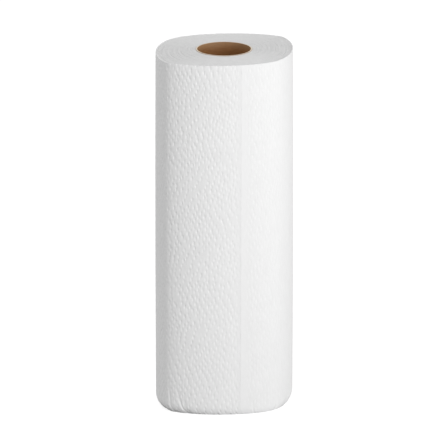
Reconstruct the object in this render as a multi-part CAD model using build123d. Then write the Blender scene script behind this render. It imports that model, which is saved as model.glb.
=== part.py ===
from build123d import *
import os
from math import cos, radians, sin

# A roll of kitchen paper standing on its end: a long web of soft paper wound on a cardboard core.
# The origin is on the core's axis at the level the roll stands on, and +Z runs up the axis.
# Seen from the front, along +Y, the loose end of the paper lies a little to the right of the middle.
# Lengths are millimetres and angles are degrees, counted anticlockwise from +X as seen from above.

# The roll
roll_height = 279.4         # the width that the web was sawn to
paper_radius = 54.3         # mean distance from the axis to the outside of the paper
sheet_thickness = 0.45      # two embossed plies, as they lie in the roll

# The cardboard core
core_bore = 41.6            # inside diameter, which a holder's rod goes through
core_wall = 0.9
core_glue = 0.05            # the line of glue between the core and the first turn

# How the soft roll is squeezed out of round
off_centre = 2.5            # the paper lies this much towards off_centre_angle
off_centre_angle = -89
oval = 3.7                  # longer by this much at each side along oval_angle
oval_angle = 34
squareness = 2.4            # bulge of the four rounded corners
square_angle = 45
belly = 0.35                # how far the wall swells at half height

# The lower edge, which the weight of the roll has pressed soft
edge_inset = 0.6            # how far the paper turns in all round
edge_height = 4.0
corner_press = 3.3          # how much further the two long corners are pressed in at the base
corner_height = 7.0         # the height at which that pressing ends

# The loose end of the paper
tail_angle = -77.5

# The spiral of turns that shows on both sawn ends
turn_bands = 11             # bands from the core to the outside
groove_width = 0.6
groove_depth = 0.8
squeeze_growth = 1.3        # how slowly the turns grow out of round, from the core outwards

# Fineness of the curves
wall_points = 36            # points of one turn of the wall
edge_sections = 5           # outlines up the pressed lower edge
wall_sections = 4           # outlines from there to the top
groove_runs = 36            # straight runs in one turn of the groove, short enough to look round

core_radius = core_bore / 2 + core_wall
wound_radius = core_radius + core_glue


def wall_shift(z):
    """How far the wall stands out at height z: the swell of the belly less the turned-in lower edge."""
    swell = belly * (1 - (2 * z / roll_height - 1) ** 2)
    turned_in = edge_inset * max(0, 1 - z / edge_height) ** 2
    return swell - turned_in


def reach(angle, share, z):
    """Distance from the axis to the tangent of a turn that faces angle, and how fast it changes.

    share is 0 on the core, where the turn is round, and 1 at the outside, where it is squeezed most.
    """
    half_press = corner_press / 2 * max(0, 1 - z / corner_height) ** 2
    middle = wound_radius + (paper_radius - wound_radius + wall_shift(z) - half_press) * share
    sizes = (off_centre, oval - half_press, squareness)
    starts = (off_centre_angle, oval_angle, square_angle)
    waves = list(zip((1, 2, 4), sizes, starts))
    bend = sum(size * cos(n * radians(angle - start)) for n, size, start in waves)
    slope = sum(-n * size * sin(n * radians(angle - start)) for n, size, start in waves)
    squeezed = share ** squeeze_growth
    return middle + squeezed * bend, squeezed * slope


def turn_point(angle, share, z, shift=0):
    """The point of a turn where it faces angle, moved out by shift."""
    out, along = reach(angle, share, z)
    a = radians(angle)
    out += shift
    return Vector(out * cos(a) - along * sin(a), out * sin(a) + along * cos(a), z)


def wall_outline(z):
    """The outline of the wound paper at height z, with the step at the paper's loose end."""
    turned = [i / wall_points for i in range(wall_points + 1)]
    points = [turn_point(tail_angle + 360 * t, 1, z, -sheet_thickness * t) for t in turned]
    wall = Spline(*points)
    return Wire([wall, Line(wall @ 1, wall @ 0)])


def wall_through(heights):
    """The wall through its outlines at these heights, straight from each to the next so it can't bulge."""
    return loft([make_face(wall_outline(z)) for z in heights], ruled=True)


def groove_edge(z, shift):
    """The points of one edge of the groove between the bands, from one band inside the loose end."""
    points = []
    for i in range(groove_runs, groove_runs * (turn_bands - 1) + 1):
        turns = i / groove_runs
        points.append(turn_point(tail_angle + 360 * turns, 1 - turns / turn_bands, z, shift))
    return points


def sawn_end(z, rise):
    """A sawn end, as deep as the groove: the outline at height z, open at the bore and along the spiral."""
    outer_edge = groove_edge(z, groove_width / 2)
    inner_edge = groove_edge(z, -groove_width / 2)
    groove = Wire.make_polygon(outer_edge + inner_edge[::-1], close=True)
    bore = Wire.make_circle(wound_radius, Plane.XY.offset(z))
    return Solid.extrude(Face(wall_outline(z), [groove, bore]), Vector(0, 0, rise))


def make_wound_paper():
    """All the turns as one solid: the squeezed wall, the bore for the core and the spiral on both ends."""
    low, high = groove_depth, roll_height - groove_depth
    press = corner_height - low
    wall = high - corner_height
    edge_heights = [low + press * (i / edge_sections) ** 1.5 for i in range(edge_sections)]
    wall_heights = [corner_height + wall * i / wall_sections for i in range(wall_sections + 1)]
    body = wall_through(edge_heights + wall_heights)
    body -= extrude(Circle(wound_radius), amount=roll_height)
    base = sawn_end(low, -groove_depth)
    top = sawn_end(high, groove_depth)
    return body.solid().fuse(base, glue=True).fuse(top, glue=True)


def make_core_tube():
    """The cardboard core, cut flush with the paper at both ends."""
    return extrude(Circle(core_radius) - Circle(core_bore / 2), amount=roll_height)


parts = {
    "wound_paper": make_wound_paper(),
    "core_tube": make_core_tube(),
}

os.makedirs("parts", exist_ok=True)
for name, part in parts.items():
    part.label = name
    export_step(part, f"parts/{name}.step")
    print(name, "volume", round(part.volume / 1000, 1), "cm3", "valid", part.is_valid)
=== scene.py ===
# %% [markdown]
# # A roll of kitchen paper, standing on its end
#
# The roll is one long web of soft white paper, wound on a cardboard core. What makes it look
# real is small: thousands of shallow dimples pressed into the sheet, the loose end that lies
# flat on the wall, the turns that show on the sawn ends, and an outline that is not quite
# round, because soft paper takes the shape of what it was packed against.
#
# The construction model has the right sizes and stays hidden. Every piece here is worked out
# as a surface with numpy and stands in the same place.

import bmesh
import bpy
import numpy as np
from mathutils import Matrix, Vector


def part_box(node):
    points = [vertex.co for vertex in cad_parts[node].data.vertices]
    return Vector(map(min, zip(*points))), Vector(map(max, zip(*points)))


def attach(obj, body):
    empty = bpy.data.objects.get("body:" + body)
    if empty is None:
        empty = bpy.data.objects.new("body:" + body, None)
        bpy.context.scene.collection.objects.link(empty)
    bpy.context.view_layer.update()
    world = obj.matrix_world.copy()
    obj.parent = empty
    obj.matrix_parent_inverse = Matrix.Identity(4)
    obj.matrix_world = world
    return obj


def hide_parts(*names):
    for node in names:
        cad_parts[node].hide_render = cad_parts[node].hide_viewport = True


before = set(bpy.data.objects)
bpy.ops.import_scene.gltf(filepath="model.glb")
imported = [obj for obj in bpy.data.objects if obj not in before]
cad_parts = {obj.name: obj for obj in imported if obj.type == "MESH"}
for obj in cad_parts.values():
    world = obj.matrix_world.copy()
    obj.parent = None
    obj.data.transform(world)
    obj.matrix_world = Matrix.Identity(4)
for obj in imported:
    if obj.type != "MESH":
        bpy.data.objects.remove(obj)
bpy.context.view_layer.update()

# %% [markdown]
# ## The sizes
#
# The same sizes that shape the construction model are named here once, in metres and degrees.
# The height and the core come from the loaded model itself, so that they cannot drift apart.

# %% The roll's own sizes
MM = 0.001

core_low, core_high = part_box("core_tube")
ROLL_HEIGHT = core_high.z - core_low.z
CORE_RADIUS = (core_high.x - core_low.x) / 2
CORE_WALL = 0.9 * MM
CORE_GLUE = 0.05 * MM
WOUND_RADIUS = CORE_RADIUS + CORE_GLUE
PAPER_RADIUS = 54.3 * MM
SHEET_STEP = 0.45 * MM

OFF_CENTRE, OFF_CENTRE_ANGLE = 2.5 * MM, -89
OVAL, OVAL_ANGLE = 3.7 * MM, 34
SQUARENESS, SQUARE_ANGLE = 2.4 * MM, 45
BELLY = 0.35 * MM
EDGE_INSET, EDGE_HEIGHT = 0.6 * MM, 4 * MM
CORNER_PRESS, CORNER_HEIGHT = 3.3 * MM, 7 * MM
SQUEEZE_GROWTH = 1.3
TAIL_ANGLE = -77.5

print("roll", round(ROLL_HEIGHT / MM, 1), "mm high on a core of", round(2 * CORE_RADIUS / MM, 1), "mm")

# %% [markdown]
# ## The camera
#
# The photograph was taken from a long way off, a little above the roll: upright edges stay
# parallel and the open end shows as a flat oval. A long lens nine metres away gives that
# view. An orthographic camera would come close, but a real lens keeps the slight narrowing.

# %% Camera at the photograph's viewing angle
IMAGE_WIDTH = 448                 # pixels of the square photograph
PIXELS_PER_METRE = 1296           # of the photograph, at the middle of the top
ELEVATION = np.radians(15.47)
CAMERA_DISTANCE = 9.0
SENSOR_WIDTH = 36.0
CLIP_END = 100
VIEW_RIGHT, VIEW_DOWN = -0.05, 175.3    # pixels from the middle of the top to the middle of the view

looking_back = Vector((0, -np.cos(ELEVATION), np.sin(ELEVATION)))
image_up = Vector((0, np.sin(ELEVATION), np.cos(ELEVATION)))
view_centre = Vector((VIEW_RIGHT / PIXELS_PER_METRE, 0, ROLL_HEIGHT))
view_centre -= image_up * (VIEW_DOWN / PIXELS_PER_METRE)

camera_data = bpy.data.cameras.new("camera")
camera_data.sensor_width = SENSOR_WIDTH
camera_data.lens = SENSOR_WIDTH * PIXELS_PER_METRE * CAMERA_DISTANCE / IMAGE_WIDTH
camera_data.clip_end = CLIP_END
camera = bpy.data.objects.new("camera", camera_data)
bpy.context.scene.collection.objects.link(camera)
camera.location = view_centre + looking_back * CAMERA_DISTANCE
camera.rotation_mode = "QUATERNION"
camera.rotation_quaternion = (-looking_back).to_track_quat("-Z", "Y")
bpy.context.scene.camera = camera
print("lens", round(camera_data.lens, 1), "mm at", CAMERA_DISTANCE, "m")

# %% [markdown]
# ## The squeezed outline
#
# A soft roll is not a cylinder. Its outline could be drawn as a spline through points, but a
# support function is shorter and gives more: it says how far the tangent that faces each
# angle lies from the axis. Moving a wall out by the thickness of a sheet then means adding
# that thickness, and the length along the wall has a plain formula too.

# %% Outline as a support function
def wall_shift(z):
    """How far the wall stands out at height z: a parabola for the belly, less one at the soft edge."""
    swell = BELLY * (1 - (2 * z / ROLL_HEIGHT - 1) ** 2)
    return swell - EDGE_INSET * np.maximum(0, 1 - z / EDGE_HEIGHT) ** 2


def half_press(z):
    """Half of how far the long corners are pressed in: a parabola that ends at CORNER_HEIGHT."""
    return CORNER_PRESS / 2 * np.maximum(0, 1 - z / CORNER_HEIGHT) ** 2


def waves(z):
    """The order, size and start angle of each wave of the outline at height z."""
    return ((1, OFF_CENTRE, OFF_CENTRE_ANGLE),
            (2, OVAL - half_press(z), OVAL_ANGLE),
            (4, SQUARENESS, SQUARE_ANGLE))


def turn_points(angle, share, z, shift=0.0):
    """The point of a turn where it faces an angle in degrees, at height z, moved out by shift.

    share is 0 at the core and 1 outside. The tangent's distance is the mean radius plus a
    cosine wave of order 1, 2 and 4. The point lies that far out, moved along the tangent by
    the distance's own slope.
    """
    a = np.radians(angle)
    mean = PAPER_RADIUS - WOUND_RADIUS + wall_shift(z) - half_press(z)
    out = WOUND_RADIUS + mean * share + shift
    along = 0.0
    squeezed = share ** SQUEEZE_GROWTH
    for order, size, start in waves(z):
        turn = order * (a - np.radians(start))
        out = out + squeezed * size * np.cos(turn)
        along = along - squeezed * size * order * np.sin(turn)
    x = out * np.cos(a) - along * np.sin(a)
    y = out * np.sin(a) + along * np.cos(a)
    return np.stack(np.broadcast_arrays(x, y, z), -1)


def wall_length(angle):
    """Length along the wall up to an angle.

    It is the mean radius times the angle, plus the integral and the slope of each wave.
    """
    a = np.radians(angle)
    length = PAPER_RADIUS * a
    for order, size, start in waves(ROLL_HEIGHT):
        length = length + size * (1 / order - order) * np.sin(order * (a - np.radians(start)))
    return length


wall_points = turn_points(np.arange(360), 1.0, ROLL_HEIGHT)
wall_reach = np.hypot(wall_points[:, 0], wall_points[:, 1])
print("outline", round(wall_reach.min() / MM, 1), "to", round(wall_reach.max() / MM, 1), "mm from the axis")

# %% Angle at a length along the web
ANGLES_BEFORE, ANGLES_BEYOND = 60, 480    # degrees on both sides of the loose end, past the tuck
ANGLE_STEPS = 5400                        # of a tenth of a degree


def web_length(angle):
    """Length along the web from the loose end to where it faces an angle."""
    return wall_length(angle) - wall_length(TAIL_ANGLE)


FINE_ANGLES = np.linspace(TAIL_ANGLE - ANGLES_BEFORE, TAIL_ANGLE + ANGLES_BEYOND, ANGLE_STEPS + 1)
FINE_LENGTHS = web_length(FINE_ANGLES)
WALL_ROUND = web_length(TAIL_ANGLE + 360)


def angle_at(length):
    """The angle that the wall faces at a length from the loose end, read back from the formula."""
    return np.interp(length, FINE_LENGTHS, FINE_ANGLES)


print("the outer turn is", round(WALL_ROUND / MM, 1), "mm long")

# %% [markdown]
# ## Small helpers
#
# Everything below is made with a few functions. For shapes, one lists the faces of a grid,
# one makes a smooth mesh, one gives the sawn rims their own material, and one says which body
# a piece rides on and which nodes it stands for. For finishes,
# one turns a hex colour to linear light, one opens a material, one adds a shader node with its
# settings and links, and one links the last shader to the output.

# %% Helpers for meshes
SHARP_ANGLE = np.radians(50)
MERGE_DISTANCE = 0.001 * MM
RIM_FACING = 0.6                 # a face whose normal rises or falls by more than this is sawn


def grid_faces(index):
    """Four-cornered faces between neighbouring points of a grid of vertex numbers.

    They face the way that the columns' direction crossed with the rows' direction points.
    """
    corners = [index[:-1, :-1], index[:-1, 1:], index[1:, 1:], index[1:, :-1]]
    return np.stack(corners, -1).reshape(-1, 4)


def mesh_piece(name, points, faces, materials, merged=False):
    """A mesh object at the origin from points and arrays of faces, smooth but for its sharp rims.

    Where it is merged, points that lie on each other become one, which closes seams.
    """
    mesh = bpy.data.meshes.new(name)
    mesh.from_pydata(points.tolist(), [], [face for group in faces for face in group.tolist()])
    if merged:
        shell = bmesh.new()
        shell.from_mesh(mesh)
        bmesh.ops.remove_doubles(shell, verts=shell.verts, dist=MERGE_DISTANCE)
        shell.to_mesh(mesh)
        shell.free()
    mesh.shade_smooth()
    mesh.set_sharp_from_angle(angle=SHARP_ANGLE)
    for material in materials:
        mesh.materials.append(material)
    piece = bpy.data.objects.new(name, mesh)
    bpy.context.scene.collection.objects.link(piece)
    sides = np.zeros(len(mesh.polygons), int)
    mesh.polygons.foreach_get("loop_total", sides)
    print(name, int((sides - 2).sum()), "triangles")
    return piece


def dress(piece, material_slot, *nodes):
    """The piece rides on the roll's one body and stands for these nodes; material_slot is not used."""
    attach(piece, "root")
    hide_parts(*nodes)


def paint_rims(piece):
    """Gives the second material to the faces that look straight up or down."""
    normals = np.zeros(len(piece.data.polygons) * 3, np.float32)
    piece.data.polygons.foreach_get("normal", normals)
    rims = np.abs(normals.reshape(-1, 3)[:, 2]) > RIM_FACING
    piece.data.polygons.foreach_set("material_index", rims.astype(np.int32))
    print(piece.name, int(rims.sum()), "rim faces")


print("edges sharper than", round(np.degrees(SHARP_ANGLE)), "degrees stay sharp")

# %% Helpers for materials
SHARE, COLOUR_A, COLOUR_B, COLOUR_OUT = 0, 6, 7, 2    # sockets of a Mix node for colours
NUMBER_A, NUMBER_B = 2, 3                             # its sockets for numbers


def linear(hex_colour):
    """An sRGB hex colour as linear red, green, blue and 1."""
    srgb = np.array([int(hex_colour[i:i + 2], 16) for i in (1, 3, 5)]) / 255
    light = np.where(srgb <= 0.04045, srgb / 12.92, ((srgb + 0.055) / 1.055) ** 2.4)
    return (*light.tolist(), 1.0)


def new_material(name):
    """An empty node material and its output node."""
    material = bpy.data.materials.new(name)
    material.use_nodes = True
    material.node_tree.nodes.clear()
    return material, material.node_tree.nodes.new("ShaderNodeOutputMaterial")


def add_node(owner, kind, settings=None, values=None, links=None):
    """Adds a shader node to a material or the world: settings by name, values and links by socket."""
    node = owner.node_tree.nodes.new(kind)
    for name, value in (settings or {}).items():
        setattr(node, name, value)
    for socket, value in (values or {}).items():
        node.inputs[socket].default_value = value
    for socket, source in (links or {}).items():
        owner.node_tree.links.new(source, node.inputs[socket])
    return node


def finish_material(owner, output, surface):
    """Links the last shader to the output of a material or the world."""
    owner.node_tree.links.new(surface, output.inputs["Surface"])


print("a mid grey is", round(linear("#808080")[0], 3), "in linear light")

# %% [markdown]
# ## Embossed tissue
#
# Kitchen paper is two plies of creped tissue, embossed and glued. Creping leaves very fine
# ridges across the web, and the loose fibres scatter light so widely that the paper has
# almost no gloss. The dimples are real geometry further down. The material adds what is
# finer: the ridges, the fibres, and the cloudy way that fibres lie thicker and thinner. It
# also paints light into the dimples: the deeper the paper is pressed in, the whiter its
# colour, which lifts the shade in them. The sheets carry their depth as an attribute.

# %% Tissue material
PAPER_LIGHT, PAPER_DARK = "#EFEFEF", "#E8E8E8"
PAPER_PAINTED_LIGHT = "#F3F3F3"        # painted light in the deepest dimples, which lifts their shade
PAINTED_LIGHT_ATTRIBUTE = "painted_light_share"        # the sheets' attribute: 0 where the paper is plain, 1 where deepest; it sets the painted light
CLOUD_SIZE = 7 * MM              # of the thicker and thinner places in the sheet
RIDGE_WIDTH = 0.9 * MM           # real ridges are 0.2 mm wide, drawn coarser so that they show
RIDGE_LENGTH = 5 * MM
FIBRE_SIZE = 1.1 * MM            # tufts of fibre, drawn coarser for the same reason
CREPE_HEIGHT, FUZZ_HEIGHT = 0.06 * MM, 0.07 * MM
TISSUE_BUMP = 0.5


def make_tissue():
    """Creped tissue: very rough, white, with fine ridges that run along the roll's axis."""
    material, output = new_material("embossed_creped_tissue")
    place = add_node(material, "ShaderNodeTexCoord").outputs["Object"]
    clouds = add_node(material, "ShaderNodeTexNoise",
                      values={"Scale": 1 / CLOUD_SIZE, "Detail": 4.0, "Roughness": 0.6},
                      links={"Vector": place})
    shade = add_node(material, "ShaderNodeMix", {"data_type": "RGBA"},
                     {COLOUR_A: linear(PAPER_DARK), COLOUR_B: linear(PAPER_LIGHT)},
                     {SHARE: clouds.outputs["Fac"]})
    # painted light: the colour turns whiter the deeper the paper is pressed in, lifting the shade in the
    # dimples
    painted_light_share = add_node(material, "ShaderNodeAttribute", {"attribute_name": PAINTED_LIGHT_ATTRIBUTE})
    painted_light_in_dimples = add_node(material, "ShaderNodeMix", {"data_type": "RGBA"},
                        {COLOUR_B: linear(PAPER_PAINTED_LIGHT)},
                        {SHARE: painted_light_share.outputs["Fac"], COLOUR_A: shade.outputs[COLOUR_OUT]})
    stretched = add_node(material, "ShaderNodeMapping",
                         values={"Scale": (1 / RIDGE_WIDTH, 1 / RIDGE_WIDTH, 1 / RIDGE_LENGTH)},
                         links={"Vector": place})
    ridges = add_node(material, "ShaderNodeTexNoise",
                      values={"Scale": 1.0, "Detail": 2.0}, links={"Vector": stretched.outputs[0]})
    fibres = add_node(material, "ShaderNodeTexNoise",
                      values={"Scale": 1 / FIBRE_SIZE, "Detail": 3.0, "Roughness": 0.7},
                      links={"Vector": place})
    crepe = add_node(material, "ShaderNodeBump",
                     values={"Strength": TISSUE_BUMP, "Distance": CREPE_HEIGHT},
                     links={"Height": ridges.outputs["Fac"]})
    fuzz = add_node(material, "ShaderNodeBump",
                    values={"Strength": TISSUE_BUMP, "Distance": FUZZ_HEIGHT},
                    links={"Height": fibres.outputs["Fac"], "Normal": crepe.outputs[0]})
    surface = add_node(material, "ShaderNodeBsdfPrincipled",
                       values={"Roughness": 0.95, "Specular IOR Level": 0.2},
                       links={"Base Color": painted_light_in_dimples.outputs[COLOUR_OUT], "Normal": fuzz.outputs[0]})
    finish_material(material, output, surface.outputs[0])
    return material


tissue = make_tissue()
print("tissue ridges drawn", round(RIDGE_WIDTH / MM, 2), "mm wide")

# %% [markdown]
# ## Sawn paper
#
# The long roll from the winder is cut by a saw. The ends show thousands of torn fibres, each
# turn a hair higher or lower than the next, so they look softer, and greyer from the shade
# among them. The turns are geometry. The material adds the fluff, and paints that shade into
# its colour, a little greyer than the wall's.

# %% Sawn paper material
# greyer than the tissue's colour: painted shade among the torn fibres and turns
SAWN_SHADED_LIGHT, SAWN_SHADED_DARK = "#E0E0E0", "#D4D4D4"
FLUFF_SIZE, FLUFF_HEIGHT = 1.6 * MM, 0.2 * MM
FLUFF_BUMP = 0.6


def make_sawn_paper():
    """The sawn edge of the wound tissue: rough, with a fluffy bump and blotches, and greyer than the wall as
    painted shade.
    """
    material, output = new_material("shaded_sawn_tissue_edge")
    place = add_node(material, "ShaderNodeTexCoord").outputs["Object"]
    blotches = add_node(material, "ShaderNodeTexNoise",
                        values={"Scale": 1 / CLOUD_SIZE, "Detail": 5.0, "Roughness": 0.7},
                        links={"Vector": place})
    shade = add_node(material, "ShaderNodeMix", {"data_type": "RGBA"},
                     {COLOUR_A: linear(SAWN_SHADED_DARK), COLOUR_B: linear(SAWN_SHADED_LIGHT)},
                     {SHARE: blotches.outputs["Fac"]})
    fluff = add_node(material, "ShaderNodeTexNoise",
                     values={"Scale": 1 / FLUFF_SIZE, "Detail": 4.0, "Roughness": 0.7},
                     links={"Vector": place})
    bump = add_node(material, "ShaderNodeBump",
                    values={"Strength": FLUFF_BUMP, "Distance": FLUFF_HEIGHT},
                    links={"Height": fluff.outputs["Fac"]})
    surface = add_node(material, "ShaderNodeBsdfPrincipled",
                       values={"Roughness": 1.0, "Specular IOR Level": 0.1},
                       links={"Base Color": shade.outputs[COLOUR_OUT], "Normal": bump.outputs[0]})
    finish_material(material, output, surface.outputs[0])
    return material


sawn_paper = make_sawn_paper()
print("sawn edge fluff", round(FLUFF_SIZE / MM, 1), "mm")

# %% [markdown]
# ## Core board
#
# The core is wound from strips of brown recycled board. Its fibres run round the tube with
# the strip, and darker bits of old print and bark show among them. Dust from the saw clings
# to both mouths and makes them paler. A saw cut through the board is paler still, because it
# shows the inside.

# %% Core board materials
BOARD_LIGHT, BOARD_DARK, BOARD_FLECK = "#A47442", "#784A24", "#4E2E16"
BOARD_CUT_LIGHT, BOARD_CUT_DARK = "#E8E2D6", "#CDBFA8"
FIBRE_LENGTH, FIBRE_WIDTH = 6 * MM, 1.0 * MM
FLECK_SIZE = 1.2 * MM
FLECKS_FROM, CUT_FLECKS_FROM = 0.66, 0.7    # noise above this is a fleck
FLECK_BLUR = 0.08
GRAIN_HEIGHT, GRAIN_BUMP = 0.1 * MM, 0.4
DUST_COLOUR = "#CDB592"
DUST_SHARE, DUST_REACH = 0.24, 8 * MM       # at the mouth, and how far in from it


def make_board(name, light, dark, fleck, fleck_start):
    """Recycled board: level streaks of fibre, small darker flecks, and dust near both ends."""
    material, output = new_material(name)
    place = add_node(material, "ShaderNodeTexCoord").outputs["Object"]
    streak_place = add_node(material, "ShaderNodeMapping",
                            values={"Scale": (1 / FIBRE_LENGTH, 1 / FIBRE_LENGTH, 1 / FIBRE_WIDTH)},
                            links={"Vector": place})
    streaks = add_node(material, "ShaderNodeTexNoise", values={"Scale": 1.0, "Detail": 4.0},
                       links={"Vector": streak_place.outputs[0]})
    shade = add_node(material, "ShaderNodeMix", {"data_type": "RGBA"},
                     {COLOUR_A: linear(dark), COLOUR_B: linear(light)},
                     {SHARE: streaks.outputs["Fac"]})
    bits = add_node(material, "ShaderNodeTexNoise",
                    values={"Scale": 1 / FLECK_SIZE, "Detail": 2.0}, links={"Vector": place})
    chosen = add_node(material, "ShaderNodeMapRange",
                      values={"From Min": fleck_start, "From Max": fleck_start + FLECK_BLUR},
                      links={"Value": bits.outputs["Fac"]})
    flecked = add_node(material, "ShaderNodeMix", {"data_type": "RGBA"}, {COLOUR_B: linear(fleck)},
                       {SHARE: chosen.outputs[0], COLOUR_A: shade.outputs[COLOUR_OUT]})
    height = add_node(material, "ShaderNodeSeparateXYZ", links={0: place}).outputs["Z"]
    above_middle = add_node(material, "ShaderNodeMath", {"operation": "SUBTRACT"},
                            {1: ROLL_HEIGHT / 2}, {0: height})
    from_middle = add_node(material, "ShaderNodeMath", {"operation": "ABSOLUTE"},
                           links={0: above_middle.outputs[0]})
    dust_range = {"From Min": ROLL_HEIGHT / 2 - DUST_REACH, "From Max": ROLL_HEIGHT / 2,
                  "To Max": DUST_SHARE}
    dust = add_node(material, "ShaderNodeMapRange", {"interpolation_type": "SMOOTHSTEP"},
                    dust_range, {"Value": from_middle.outputs[0]})
    dusty = add_node(material, "ShaderNodeMix", {"data_type": "RGBA"}, {COLOUR_B: linear(DUST_COLOUR)},
                     {SHARE: dust.outputs[0], COLOUR_A: flecked.outputs[COLOUR_OUT]})
    bump = add_node(material, "ShaderNodeBump",
                    values={"Strength": GRAIN_BUMP, "Distance": GRAIN_HEIGHT},
                    links={"Height": streaks.outputs["Fac"]})
    surface = add_node(material, "ShaderNodeBsdfPrincipled",
                       values={"Roughness": 0.6, "Specular IOR Level": 0.5},
                       links={"Base Color": dusty.outputs[COLOUR_OUT], "Normal": bump.outputs[0]})
    finish_material(material, output, surface.outputs[0])
    return material


board = make_board("recycled_core_board", BOARD_LIGHT, BOARD_DARK, BOARD_FLECK, FLECKS_FROM)
board_cut = make_board("sawn_core_board", BOARD_CUT_LIGHT, BOARD_CUT_DARK, BOARD_DARK, CUT_FLECKS_FROM)
print("board fibres", round(FIBRE_LENGTH / MM, 1), "mm long")

# %% [markdown]
# ## The embossing
#
# A steel roller presses small oval dimples into the sheet, close together and in rows that
# wander like ripples. They could be a bump map, but then the outline and the mesh would be
# smooth. Here they are part of the surface: a function gives the depth at each place of the
# web, from a honeycomb lattice whose rows are bent by slow waves. The dimples themselves stay
# nearly upright, because the roller's studs are. Dry creped paper is never quite flat between
# them, so a fine crinkle lies over it all.

# %% Random numbers for the dimples and the crinkle
SCATTER_CELLS = 64               # dimples and rows until the scatter repeats
CRINKLE_CELLS = 128
SCATTER_SEED, CRINKLE_SEED = 11, 23

# For each dimple its shift along the web, its shift up, its depth and its lean.
scatter = np.random.default_rng(SCATTER_SEED).uniform(-1, 1, (SCATTER_CELLS, SCATTER_CELLS, 4))
crinkles = np.random.default_rng(CRINKLE_SEED).uniform(-1, 1, (CRINKLE_CELLS, CRINKLE_CELLS))
print(scatter.shape[0] * scatter.shape[1], "scattered dimples,", crinkles.size, "crinkle heights")

# %% The crinkle
CRINKLE_WIDTH, CRINKLE_HEIGHT = 1.3 * MM, 1.9 * MM
CRINKLE_DEPTH = 0.075 * MM


def crinkle(along, up):
    """Fine unevenness between -1 and 1: random heights on a grid, joined by cosine curves both ways."""
    x, y = along / CRINKLE_WIDTH, up / CRINKLE_HEIGHT
    column, row = np.floor(x).astype(int), np.floor(y).astype(int)
    right, above = (1 - np.cos(np.pi * (x - column))) / 2, (1 - np.cos(np.pi * (y - row))) / 2
    columns, rows = (column, column + 1), (row, row + 1)
    heights = [[crinkles[j % CRINKLE_CELLS, i % CRINKLE_CELLS] for i in columns] for j in rows]
    lower, upper = [left + (other - left) * right for left, other in heights]
    return lower + (upper - lower) * above


print("crinkle up to", round(2 * CRINKLE_DEPTH / MM, 2), "mm deep")

# %% The rows of dimples
DIMPLE_SPACING, ROW_SPACING = 5.0 * MM, 3.4 * MM
RIPPLE, RIPPLE_ALONG, RIPPLE_UP = 2.5 * MM, 51 * MM, 61 * MM
SLOPE_STEP = 0.01 * MM           # over which the slopes of the bending are taken


def rippled(along, up):
    """Both directions of the web, each bent by a slow sine wave across it and a weaker one aslant."""
    turn = 2 * np.pi
    u = along + RIPPLE * np.sin(turn * up / RIPPLE_UP)
    u = u + RIPPLE / 2 * np.sin(turn * (up + along) / RIPPLE_ALONG)
    v = up + RIPPLE * np.sin(turn * along / RIPPLE_ALONG)
    v = v + RIPPLE / 2 * np.sin(turn * (along - up) / RIPPLE_UP)
    return u, v


print("about", int(WALL_ROUND * ROLL_HEIGHT / (DIMPLE_SPACING * ROW_SPACING)), "dimples round the roll")

# %% Depth of the embossing
DIMPLE_HALF_WIDTH, DIMPLE_HALF_HEIGHT = 1.15 * MM, 1.5 * MM
DIMPLE_DEPTH = 0.72 * MM         # of the deepest, which stays inside the sheet
DIMPLE_SCATTER = 0.9 * MM
DEPTH_SCATTER = 0.2              # dimples are shallower by up to twice this share
DIMPLE_LEAN = 0.15               # how far a dimple may lean to either side


def dimple_depth(along, up):
    """Depth of the embossing at a length along the web and a height up it.

    In the bent directions each point of a staggered lattice has an oval dimple, whose depth
    falls from its middle to its rim as a cosine. The distances to that point are turned back
    by the slopes of the bending, so the ovals stay upright and keep their size.
    """
    u, v = rippled(along, up)
    u_next, v_next = rippled(along + SLOPE_STEP, up)
    u_over, v_over = rippled(along, up + SLOPE_STEP)
    u_along, v_along = (u_next - u) / SLOPE_STEP, (v_next - v) / SLOPE_STEP
    u_up, v_up = (u_over - u) / SLOPE_STEP, (v_over - v) / SLOPE_STEP
    stretch = u_along * v_up - u_up * v_along
    depth = 0.0
    for step in (-1, 0, 1):
        row = np.round(v / ROW_SPACING) + step
        start = DIMPLE_SPACING / 2 * (row % 2)
        column = np.round((u - start) / DIMPLE_SPACING)
        chance = scatter[(row % SCATTER_CELLS).astype(int), (column % SCATTER_CELLS).astype(int)]
        from_column = u - start - column * DIMPLE_SPACING - DIMPLE_SCATTER * chance[..., 0]
        from_row = v - row * ROW_SPACING - DIMPLE_SCATTER * chance[..., 1]
        across = (v_up * from_column - u_up * from_row) / stretch
        above = (u_along * from_row - v_along * from_column) / stretch
        across = across - DIMPLE_LEAN * chance[..., 3] * above
        away = np.minimum(1, np.hypot(across / DIMPLE_HALF_WIDTH, above / DIMPLE_HALF_HEIGHT))
        deepest = 1 - DEPTH_SCATTER * (1 + chance[..., 2])
        depth = np.maximum(depth, deepest * (1 + np.cos(np.pi * away)) / 2)
    return DIMPLE_DEPTH * depth + CRINKLE_DEPTH * (1 + crinkle(along, up))


print("embossing up to", round((DIMPLE_DEPTH + 2 * CRINKLE_DEPTH) / MM, 2), "mm deep")

# %% [markdown]
# ## The two outer sheets
#
# The web is torn into sheets along lines of small slits. The outermost turn holds one whole
# sheet, from the loose end round the right side to the slits behind, and part of the next,
# which slips under the loose end at the front. Each is a thin closed shell: a fine embossed
# outside, a coarse inside where nobody looks, and the four edges between them.
#
# A roll from the shop has been handled. The packing has pressed its right side nearly smooth,
# and its soft lower edge has short folds all round and two creases at the left. A cloth
# simulation could fold it, but so few and so shallow folds are easier to place by formula.

# %% Curves that several pieces share
RAGGED_LENGTHS = (2.3 * MM, 4.1 * MM, 9.7 * MM, 31 * MM)


def smooth(share):
    """0 up to 1 as the share goes from 0 to 1, level at both ends: three squares less two cubes."""
    share = np.clip(share, 0, 1)
    return share * share * (3 - 2 * share)


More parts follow.
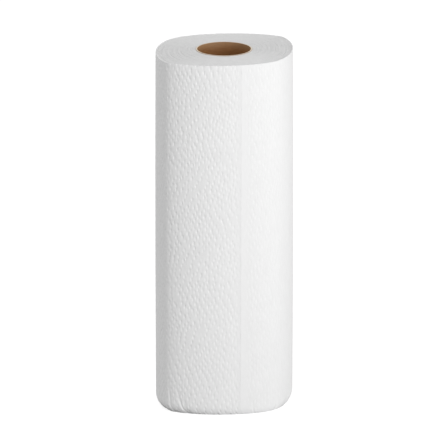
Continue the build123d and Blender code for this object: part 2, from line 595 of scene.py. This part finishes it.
def ragged(along, phase):
    """A ragged line between -1 and 1: a mean of sine waves of several lengths."""
    return sum(np.sin(2 * np.pi * along / length + phase * (i + 1))
               for i, length in enumerate(RAGGED_LENGTHS)) / len(RAGGED_LENGTHS)


print("the ragged lines repeat their largest wave every", round(max(RAGGED_LENGTHS) / MM), "mm")

# %% Worn, folded and creased paper
WORN_SHARE = 0.86                # share of the embossing that the pressed side has lost
WORN_MIDDLE, WORN_REACH = 48 * MM, 43 * MM    # lengths along the web, from the loose end
FOLD_DEPTH, FOLD_HEIGHT = 0.6 * MM, 13 * MM
FOLD_WIDENING = 2.5              # folds are this much wider than the frays of the rims
FOLD_LEVEL, FOLD_RISE = 0.2, 0.4    # a fold starts at this level and is full so much higher
FOLD_PHASE = 4.0                 # each ragged line starts at its own phase, so that no two match
CREASES = ((253, 22 * MM, 0.3), (240, 26 * MM, 0.1))    # angle faced at the foot, height, lean
CREASE_DEPTH, CREASE_HALF_WIDTH = 0.93 * MM, 0.9 * MM


def creased(along, up):
    """1 at the foot of each crease: a bell curve across it, which leans and fades away up the wall."""
    share = 0.0
    for angle, height, lean in CREASES:
        across = along - web_length(angle) + lean * up
        bell = np.exp(-(across / CREASE_HALF_WIDTH) ** 2)
        share = np.maximum(share, bell * np.sqrt(np.clip(1 - up / height, 0, 1)))
    return share


def sheet_depth(along, up):
    """Depth of a sheet's outside: the embossing, and in its place the folds and creases.

    The embossing is worn along a bell curve round the pressed side. A fold stands wherever a
    ragged line rises above a level, and fades away up the wall.
    """
    around = (along - WORN_MIDDLE + WALL_ROUND / 2) % WALL_ROUND - WALL_ROUND / 2
    kept = 1 - WORN_SHARE * np.exp(-(around / WORN_REACH) ** 2)
    crest = np.clip((ragged(along / FOLD_WIDENING, FOLD_PHASE) - FOLD_LEVEL) / FOLD_RISE, 0, 1)
    fold = crest * np.clip(1 - up / FOLD_HEIGHT, 0, 1)
    depth = dimple_depth(along, up) * kept * (1 - fold) + FOLD_DEPTH * fold
    return np.maximum(depth, CREASE_DEPTH * creased(along, up))


print("folds up to", round(FOLD_DEPTH / MM, 2), "mm deep, creases", round(CREASE_DEPTH / MM, 2), "mm")

# %% A sheet as a closed shell
SHEET_SHELL = 0.98 * MM
INSIDE_ROWS = 5                  # outside rows are a multiple of this
RIM_FRAY, FRAY_PHASE = 0.16 * MM, 1.3    # how ragged the saw left the rims
FRAY_FADE = 60                   # power that lets the fray fade out near the rim


def sheet_points(start, end, places, rows, depth):
    """The points of one face of a sheet, and their depths, between its edges start(up) and end(up).

    The edges are lengths along the web, and places are the columns' shares of the way between
    them. Each point lies on the wall's outline, moved in by the spiral's place and the depth.
    """
    up = np.linspace(0, ROLL_HEIGHT, rows + 1)[:, None]
    along = start(up) + (end(up) - start(up)) * places
    depths = depth(along, up) + 0 * along
    points = turn_points(angle_at(along), 1.0, up, -SHEET_STEP * along / WALL_ROUND - depths)
    fray = RIM_FRAY * ragged(along, FRAY_PHASE)
    share_up = up / ROLL_HEIGHT
    points[..., 2] += fray * share_up ** FRAY_FADE + np.abs(fray) * (1 - share_up) ** FRAY_FADE
    return points, depths


def edge_faces(outer, inner):
    """Three-cornered faces between a fine line of vertices and a coarse one, as two fans that mesh."""
    many = (len(outer) - 1) // (len(inner) - 1)
    near = inner[np.arange(len(outer) - 1) // many]
    fans = np.stack([outer[:-1], outer[1:], near], -1)
    caps = np.stack([inner[:-1], outer[many::many], inner[1:]], -1)
    return np.concatenate([fans, caps])


def make_sheet(name, start, end, places, rows, outer_depth, inner_depth):
    """A closed sheet: embossed outside, plain inside, four edges, and each point's depth as an attribute."""
    outside, depths = sheet_points(start, end, places, rows, outer_depth)
    inside, _ = sheet_points(start, end, places, INSIDE_ROWS, inner_depth)
    points = np.concatenate([outside.reshape(-1, 3), inside.reshape(-1, 3)])
    outer = np.arange(outside[..., 0].size).reshape(outside.shape[:2])
    inner = outer.size + np.arange(inside[..., 0].size).reshape(inside.shape[:2])
    faces = [
        grid_faces(outer),
        grid_faces(inner[::-1]),
        grid_faces(np.stack([outer[-1], inner[-1]])),
        grid_faces(np.stack([inner[0], outer[0]])),
        edge_faces(outer[:, 0], inner[:, 0]),
        edge_faces(outer[:, -1], inner[:, -1])[:, ::-1],
    ]
    piece = mesh_piece(name, points, faces, [tissue, sawn_paper])
    # each point's share of the deepest dimple, which sets the painted light in the dimples
    painted_light_share = np.zeros(len(points), np.float32)
    painted_light_share[:depths.size] = np.clip(depths.ravel() / DIMPLE_DEPTH, 0, 1)
    piece.data.attributes.new(PAINTED_LIGHT_ATTRIBUTE, "FLOAT", "POINT").data.foreach_set("value", painted_light_share)
    return piece


print("each outer sheet is a shell", round(SHEET_SHELL / MM, 2), "mm thick")

# %% Edges of the two sheets
SHEET_LENGTH = 203.2 * MM
TUCK = 2 * MM                    # how far the next sheet goes under the loose end
TAIL_LEAN = 0.8 * MM             # the loose end leans by this much from bottom to top
TAIL_WAVE, TAIL_PHASE = 0.2 * MM, 2.1
SLIT_SPACING, SLIT_GAP = 6.0 * MM, 0.2 * MM
SLIT_STEEPNESS = 2               # how sharply a slit opens at its ends


def tail_edge(up):
    """The loose end: a leaning line with small waves."""
    return TAIL_LEAN * (up / ROLL_HEIGHT - 0.5) + TAIL_WAVE * ragged(up, TAIL_PHASE)


def slit_gap(up):
    """Half the gap between two sheets: a clipped sine wave, open along slits and shut at ties."""
    wave = np.sin(2 * np.pi * up / SLIT_SPACING)
    return SLIT_GAP / 2 * np.clip(0.5 + SLIT_STEEPNESS * wave, 0, 1)


def near_slits(up):
    """The loose sheet's far edge, on this side of the slits."""
    return SHEET_LENGTH - slit_gap(up)


def beyond_slits(up):
    """The next sheet's near edge, on the other side of the slits."""
    return SHEET_LENGTH + slit_gap(up)


def tucked_edge(up):
    """The next sheet's far edge, straight up under the loose end."""
    return WALL_ROUND + TUCK + 0 * up


print(int(ROLL_HEIGHT / SLIT_SPACING), "slits between the two sheets")

# %% Depths of the two sheets
TAIL_THICKNESS = 0.10 * MM       # of the loose end, which is pressed flat
TAIL_THIN_LENGTH = 9 * MM        # from there to the sheet's full thickness
TAIL_FLATTENED = 0.92            # share of its embossing that the loose end has lost
TUCK_RAMP = 1.5 * MM             # from the tuck to where the loose sheet's inside is plain again
NEXT_FLATTENED = 0.75            # share that the next sheet has lost under the loose end
NEXT_FADE = 5 * MM               # over which it loses it


def tail_outside(along, up):
    """Depth of the loose sheet's outside: thinner towards its end, where the embossing fades out too."""
    thinned = (SHEET_STEP - TAIL_THICKNESS) * smooth(1 - along / TAIL_THIN_LENGTH)
    flattened = TAIL_FLATTENED * smooth(1 - (along - TUCK) / TAIL_THIN_LENGTH)
    return thinned + sheet_depth(along, up) * (1 - flattened)


def tail_inside(along, up):
    """Depth of the loose sheet's inside: its thickness, but at the tuck no deeper than the sheet below."""
    return SHEET_SHELL - (SHEET_SHELL - SHEET_STEP) * smooth(1 - (along - TUCK) / TUCK_RAMP)


def next_outside(along, up):
    """Depth of the next sheet's outside: its embossing is pressed flatter towards the loose end on top."""
    flattened = NEXT_FLATTENED * smooth(1 - (WALL_ROUND - along) / NEXT_FADE)
    return sheet_depth(along, up) * (1 - flattened)


def next_inside(along, up):
    """Depth of the next sheet's inside: its thickness."""
    return SHEET_SHELL


print("the loose end is", round(TAIL_THICKNESS / MM, 2), "mm thick")

# %% The loose sheet and the next one
FRONT_SHARE = 0.38               # of the loose sheet, which gets the finer columns
FRONT_COLUMNS, BACK_COLUMNS, NEXT_COLUMNS = 200, 210, 360
TAIL_ROWS, NEXT_ROWS = 235, 265

front_places = np.linspace(0, FRONT_SHARE, FRONT_COLUMNS, endpoint=False)
back_places = np.linspace(FRONT_SHARE, 1, BACK_COLUMNS + 1)
tail_places = np.concatenate([front_places, back_places])
next_places = np.linspace(0, 1, NEXT_COLUMNS + 1)
tail_sheet = make_sheet("tail_sheet", tail_edge, near_slits, tail_places, TAIL_ROWS,
                        tail_outside, tail_inside)
next_sheet = make_sheet("next_sheet", beyond_slits, tucked_edge, next_places, NEXT_ROWS,
                        next_outside, next_inside)
for sheet in (tail_sheet, next_sheet):
    paint_rims(sheet)
    dress(sheet, "towel_paper", "wound_paper")

# %% [markdown]
# ## The wound turns
#
# Below the outer sheets lie dozens of turns, and both sawn ends show them as one long spiral
# of soft ridges. Separate rings would be simple, but the real web is one spiral, so the grid
# is wound too: each row of points moves out by one turn as it goes once round, and meets the
# row that began one turn further out. Real turns are less than half a millimetre apart, too
# fine to show, so they are drawn as 40 wider ones.

# %% Depth of the sawn ends
TURNS = 40
TURN_POINTS = 5                  # points across one turn
TURN_UNEVEN = 0.12 * MM          # how much higher or lower a turn may stand
TURN_GAP_DEPTH = 0.35 * MM
GAP_MEAN, GAP_SPREAD = 0.65, 0.6    # shares of that depth: in the middle, and to either side
GAP_PHASE = 2                    # so that the gaps vary apart from the heights
END_REST = 0.15 * MM             # how far the highest ridges lie below the rims
TURN_RATES = (0.37, 1.73, 4.19, 9.61)    # waves in one turn, none of them a whole number


def turn_waves(wound, phase):
    """Unevenness along the spiral, counted in turns from the core: a mean of sine waves."""
    return sum(np.sin(2 * np.pi * rate * wound + phase * (i + 1))
               for i, rate in enumerate(TURN_RATES)) / len(TURN_RATES)


def end_depth(row, angle, inside, phase):
    """Depth of a sawn end: a ridge for each turn, with its own height and its own gap beside it."""
    wound = row // TURN_POINTS - (angle - TAIL_ANGLE) / 360
    between = 1 - np.sqrt(np.sin(np.pi * (row % TURN_POINTS) / TURN_POINTS))
    gap = TURN_GAP_DEPTH * (GAP_MEAN + GAP_SPREAD * turn_waves(wound, phase + GAP_PHASE))
    depth = END_REST + TURN_UNEVEN * (1 + turn_waves(wound, phase)) + gap * between
    return np.where(inside, depth, END_REST + TURN_UNEVEN)


print("turns drawn", round((PAPER_RADIUS - WOUND_RADIUS) / TURNS / MM, 2), "mm wide")

# %% Shape of the wound body
BODY_COLUMNS = 216
BODY_CLEARANCE = 0.03 * MM       # between the sheets and the turns below them
RAMP_START, RAMP_END = 2.4 * MM, 6 * MM    # the body rises here, beyond the tucked edge
WALL_ROWS = 14
WALL_CROWDING = 1.8              # rows of the wall lie closer together near the floor
BOTTOM_PHASE, TOP_PHASE = 5.0, 0.7
EDGE_TOLERANCE = 1e-9            # a share this close to 0 or 1 is the edge itself


def body_shift(angle):
    """How far the body lies inside the outline: a turn deeper under the tucked edge, then a ramp."""
    along = web_length(angle)
    ramp = smooth((RAMP_END - along) / (RAMP_END - RAMP_START))
    return -(SHEET_SHELL + BODY_CLEARANCE) - SHEET_STEP * (along / WALL_ROUND + ramp)


def make_wound_turns():
    """The wound body: out along the bottom's spiral, up the wall, in along the top's, down the bore."""
    angle = TAIL_ANGLE + np.linspace(0, 360, BODY_COLUMNS + 1)
    row = np.arange(TURN_POINTS * (TURNS + 1) + 1)[:, None]
    share = (row / TURN_POINTS - (angle - TAIL_ANGLE) / 360) / TURNS
    inside = (share > EDGE_TOLERANCE) & (share < 1 - EDGE_TOLERANCE)
    share = np.clip(share, 0, 1)
    shift = body_shift(angle) * share
    bottom_depth = end_depth(row, angle, inside, BOTTOM_PHASE)
    top_depth = end_depth(row, angle, inside, TOP_PHASE)
    bottom = turn_points(angle, share, bottom_depth, shift)
    top = turn_points(angle, share, ROLL_HEIGHT - top_depth, shift)[::-1]
    rise = (np.arange(1, WALL_ROWS) / WALL_ROWS)[:, None] ** WALL_CROWDING
    wall = turn_points(angle, 1.0, ROLL_HEIGHT * rise, body_shift(angle))
    rings = np.concatenate([bottom, wall, top])
    index = np.arange(rings[..., 0].size).reshape(rings.shape[:2])
    faces = [grid_faces(index), grid_faces(np.stack([index[-1], index[0]]))]
    return mesh_piece("wound_turns", rings.reshape(-1, 3), faces, [sawn_paper], merged=True)


wound_turns = make_wound_turns()
dress(wound_turns, "towel_paper", "wound_paper")

# %% [markdown]
# ## The core
#
# The core is a spiral-wound tube. Where one strip's edge lies on the next, the inside shows
# a low helical step. A plain tube would do from afar, but the inside is open to view, so the
# wall is a grid whose radius follows that step. The sawn rims are a second, paler material.

# %% Shape of the core
CORE_COLUMNS = 180
INSIDE_CORE_ROWS, OUTSIDE_CORE_ROWS = 120, 2    # the outside lies against the paper
STRIP_PITCH = 92 * MM            # climb of the strip's edge in one turn
STRIP_STEP = 0.16 * MM
STEP_WIDTH = 1.6 * MM


def strip_height(angle, up):
    """Place across the strip at an angle and height, 0 to 1 from one edge to the next along the tube."""
    return (up / STRIP_PITCH - angle / 360) % 1


def make_core():
    """The core: up the outside, in over the sawn rim, and down the inside with its helical step."""
    angle = np.linspace(0, 360, CORE_COLUMNS + 1)[None, :]
    a = np.radians(angle)
    out_up = np.linspace(0, 1, OUTSIDE_CORE_ROWS + 1)[:, None] * ROLL_HEIGHT
    in_up = np.linspace(1, 0, INSIDE_CORE_ROWS + 1)[:, None] * ROLL_HEIGHT
    across = strip_height(angle, in_up)
    step = np.clip(across * STRIP_PITCH / STEP_WIDTH, 0, 1) - across
    outside = np.broadcast_to(CORE_RADIUS, (OUTSIDE_CORE_ROWS + 1, CORE_COLUMNS + 1))
    inside = CORE_RADIUS - CORE_WALL + STRIP_STEP * (0.5 - step)
    radius = np.concatenate([outside, inside])
    up = np.concatenate([out_up, in_up])
    points = np.stack(np.broadcast_arrays(radius * np.cos(a), radius * np.sin(a), up), -1)
    index = np.arange(points[..., 0].size).reshape(points.shape[:2])
    faces = [grid_faces(index), grid_faces(np.stack([index[-1], index[0]]))]
    return mesh_piece("board_core", points.reshape(-1, 3), faces, [board, board_cut], merged=True)


board_core = make_core()
paint_rims(board_core)
dress(board_core, "core_board", "core_tube")

# %% [markdown]
# ## The stage
#
# The roll stands on a pale floor in an open white studio. The floor has to look pure white
# and still keep the roll's shadow, without more light on the paper. So the camera sees the
# floor as half glowing, half lit, while the light that bounces back to the roll sees a plain
# matt floor.

# %% Floor and surroundings
WHITE = "#FFFFFF"
FLOOR_HALF_SIZE = 12.0
FLOOR_SEEN, FLOOR_BOUNCE = "#A0A0A0", "#B0B0B0"
FLOOR_GLOW = 0.80
SKY_LIGHT, SKY_SEEN = 0.785, 1.0


def is_seen(owner):
    """1 for rays from the camera and those that reflect or pass through to it, else 0."""
    path = add_node(owner, "ShaderNodeLightPath")
    total = add_node(owner, "ShaderNodeMath", {"operation": "ADD"},
                     links={0: path.outputs["Is Camera Ray"], 1: path.outputs["Is Glossy Ray"]})
    return add_node(owner, "ShaderNodeMath", {"operation": "ADD", "use_clamp": True},
                    links={0: total.outputs[0], 1: path.outputs["Is Transmission Ray"]}).outputs[0]


def make_floor():
    """A large matt floor: to the camera it glows a little under its shading, to other rays it is plain."""
    material, output = new_material("studio_floor")
    glow = add_node(material, "ShaderNodeEmission",
                    values={"Color": linear(WHITE), "Strength": FLOOR_GLOW})
    seen = add_node(material, "ShaderNodeBsdfDiffuse", values={"Color": linear(FLOOR_SEEN)})
    plain = add_node(material, "ShaderNodeBsdfDiffuse", values={"Color": linear(FLOOR_BOUNCE)})
    both = add_node(material, "ShaderNodeAddShader", links={0: glow.outputs[0], 1: seen.outputs[0]})
    choice = add_node(material, "ShaderNodeMixShader",
                      links={0: is_seen(material), 1: plain.outputs[0], 2: both.outputs[0]})
    finish_material(material, output, choice.outputs[0])
    corners = FLOOR_HALF_SIZE * np.array([[-1, -1, 0], [1, -1, 0], [1, 1, 0], [-1, 1, 0]])
    floor = mesh_piece("floor", corners, [np.array([[0, 1, 2, 3]])], [material])


def make_surroundings():
    """An even pale studio: white where it is seen, and a plain soft light on everything else."""
    world = bpy.data.worlds.new("studio")
    bpy.context.scene.world = world
    world.use_nodes = True
    world.node_tree.nodes.clear()
    seen = is_seen(world)
    strength = add_node(world, "ShaderNodeMix", {"data_type": "FLOAT"},
                        {NUMBER_A: SKY_LIGHT, NUMBER_B: SKY_SEEN}, {SHARE: seen})
    sky = add_node(world, "ShaderNodeBackground", values={"Color": linear(WHITE)},
                   links={"Strength": strength.outputs[0]})
    output = add_node(world, "ShaderNodeOutputWorld")
    finish_material(world, output, sky.outputs[0])


make_floor()
make_surroundings()
print("sky light", SKY_LIGHT)

# %% [markdown]
# ## The lamps
#
# A wide, low lamp to the right of the camera draws the dimples: their left walls face it and
# shine, their right walls turn away. Towards the left edge its light grazes the wall, and
# there the dimples show most. A weaker lamp behind lifts the sawn top, which the first one
# only grazes. Small lamps would make hard shadows, so both are wide.

# %% Two soft lamps
LAMP_DISTANCE, LAMP_SIZE = 1.0, 0.46
FRONT_AZIMUTH, FRONT_ELEVATION = np.radians(-48), np.radians(17)
FRONT_POWER = 4.5
BACK_AZIMUTH, BACK_ELEVATION = np.radians(115), np.radians(25)
BACK_POWER = 1.6


def make_lamp(name, azimuth, elevation, power):
    """A square lamp that faces the roll's middle from an azimuth, anticlockwise from +X, and elevation."""
    data = bpy.data.lights.new(name, "AREA")
    data.size = LAMP_SIZE
    data.energy = power
    lamp = bpy.data.objects.new(name, data)
    bpy.context.scene.collection.objects.link(lamp)
    level = np.cos(elevation)
    away = Vector((np.cos(azimuth) * level, np.sin(azimuth) * level, np.sin(elevation)))
    lamp.location = Vector((0, 0, ROLL_HEIGHT / 2)) + away * LAMP_DISTANCE
    lamp.rotation_mode = "QUATERNION"
    lamp.rotation_quaternion = (-away).to_track_quat("-Z", "Y")


make_lamp("soft_lamp", FRONT_AZIMUTH, FRONT_ELEVATION, FRONT_POWER)
make_lamp("back_lamp", BACK_AZIMUTH, BACK_ELEVATION, BACK_POWER)
bpy.context.scene.view_settings.view_transform = "Standard"
print("lamps", FRONT_POWER, "W and", BACK_POWER, "W")
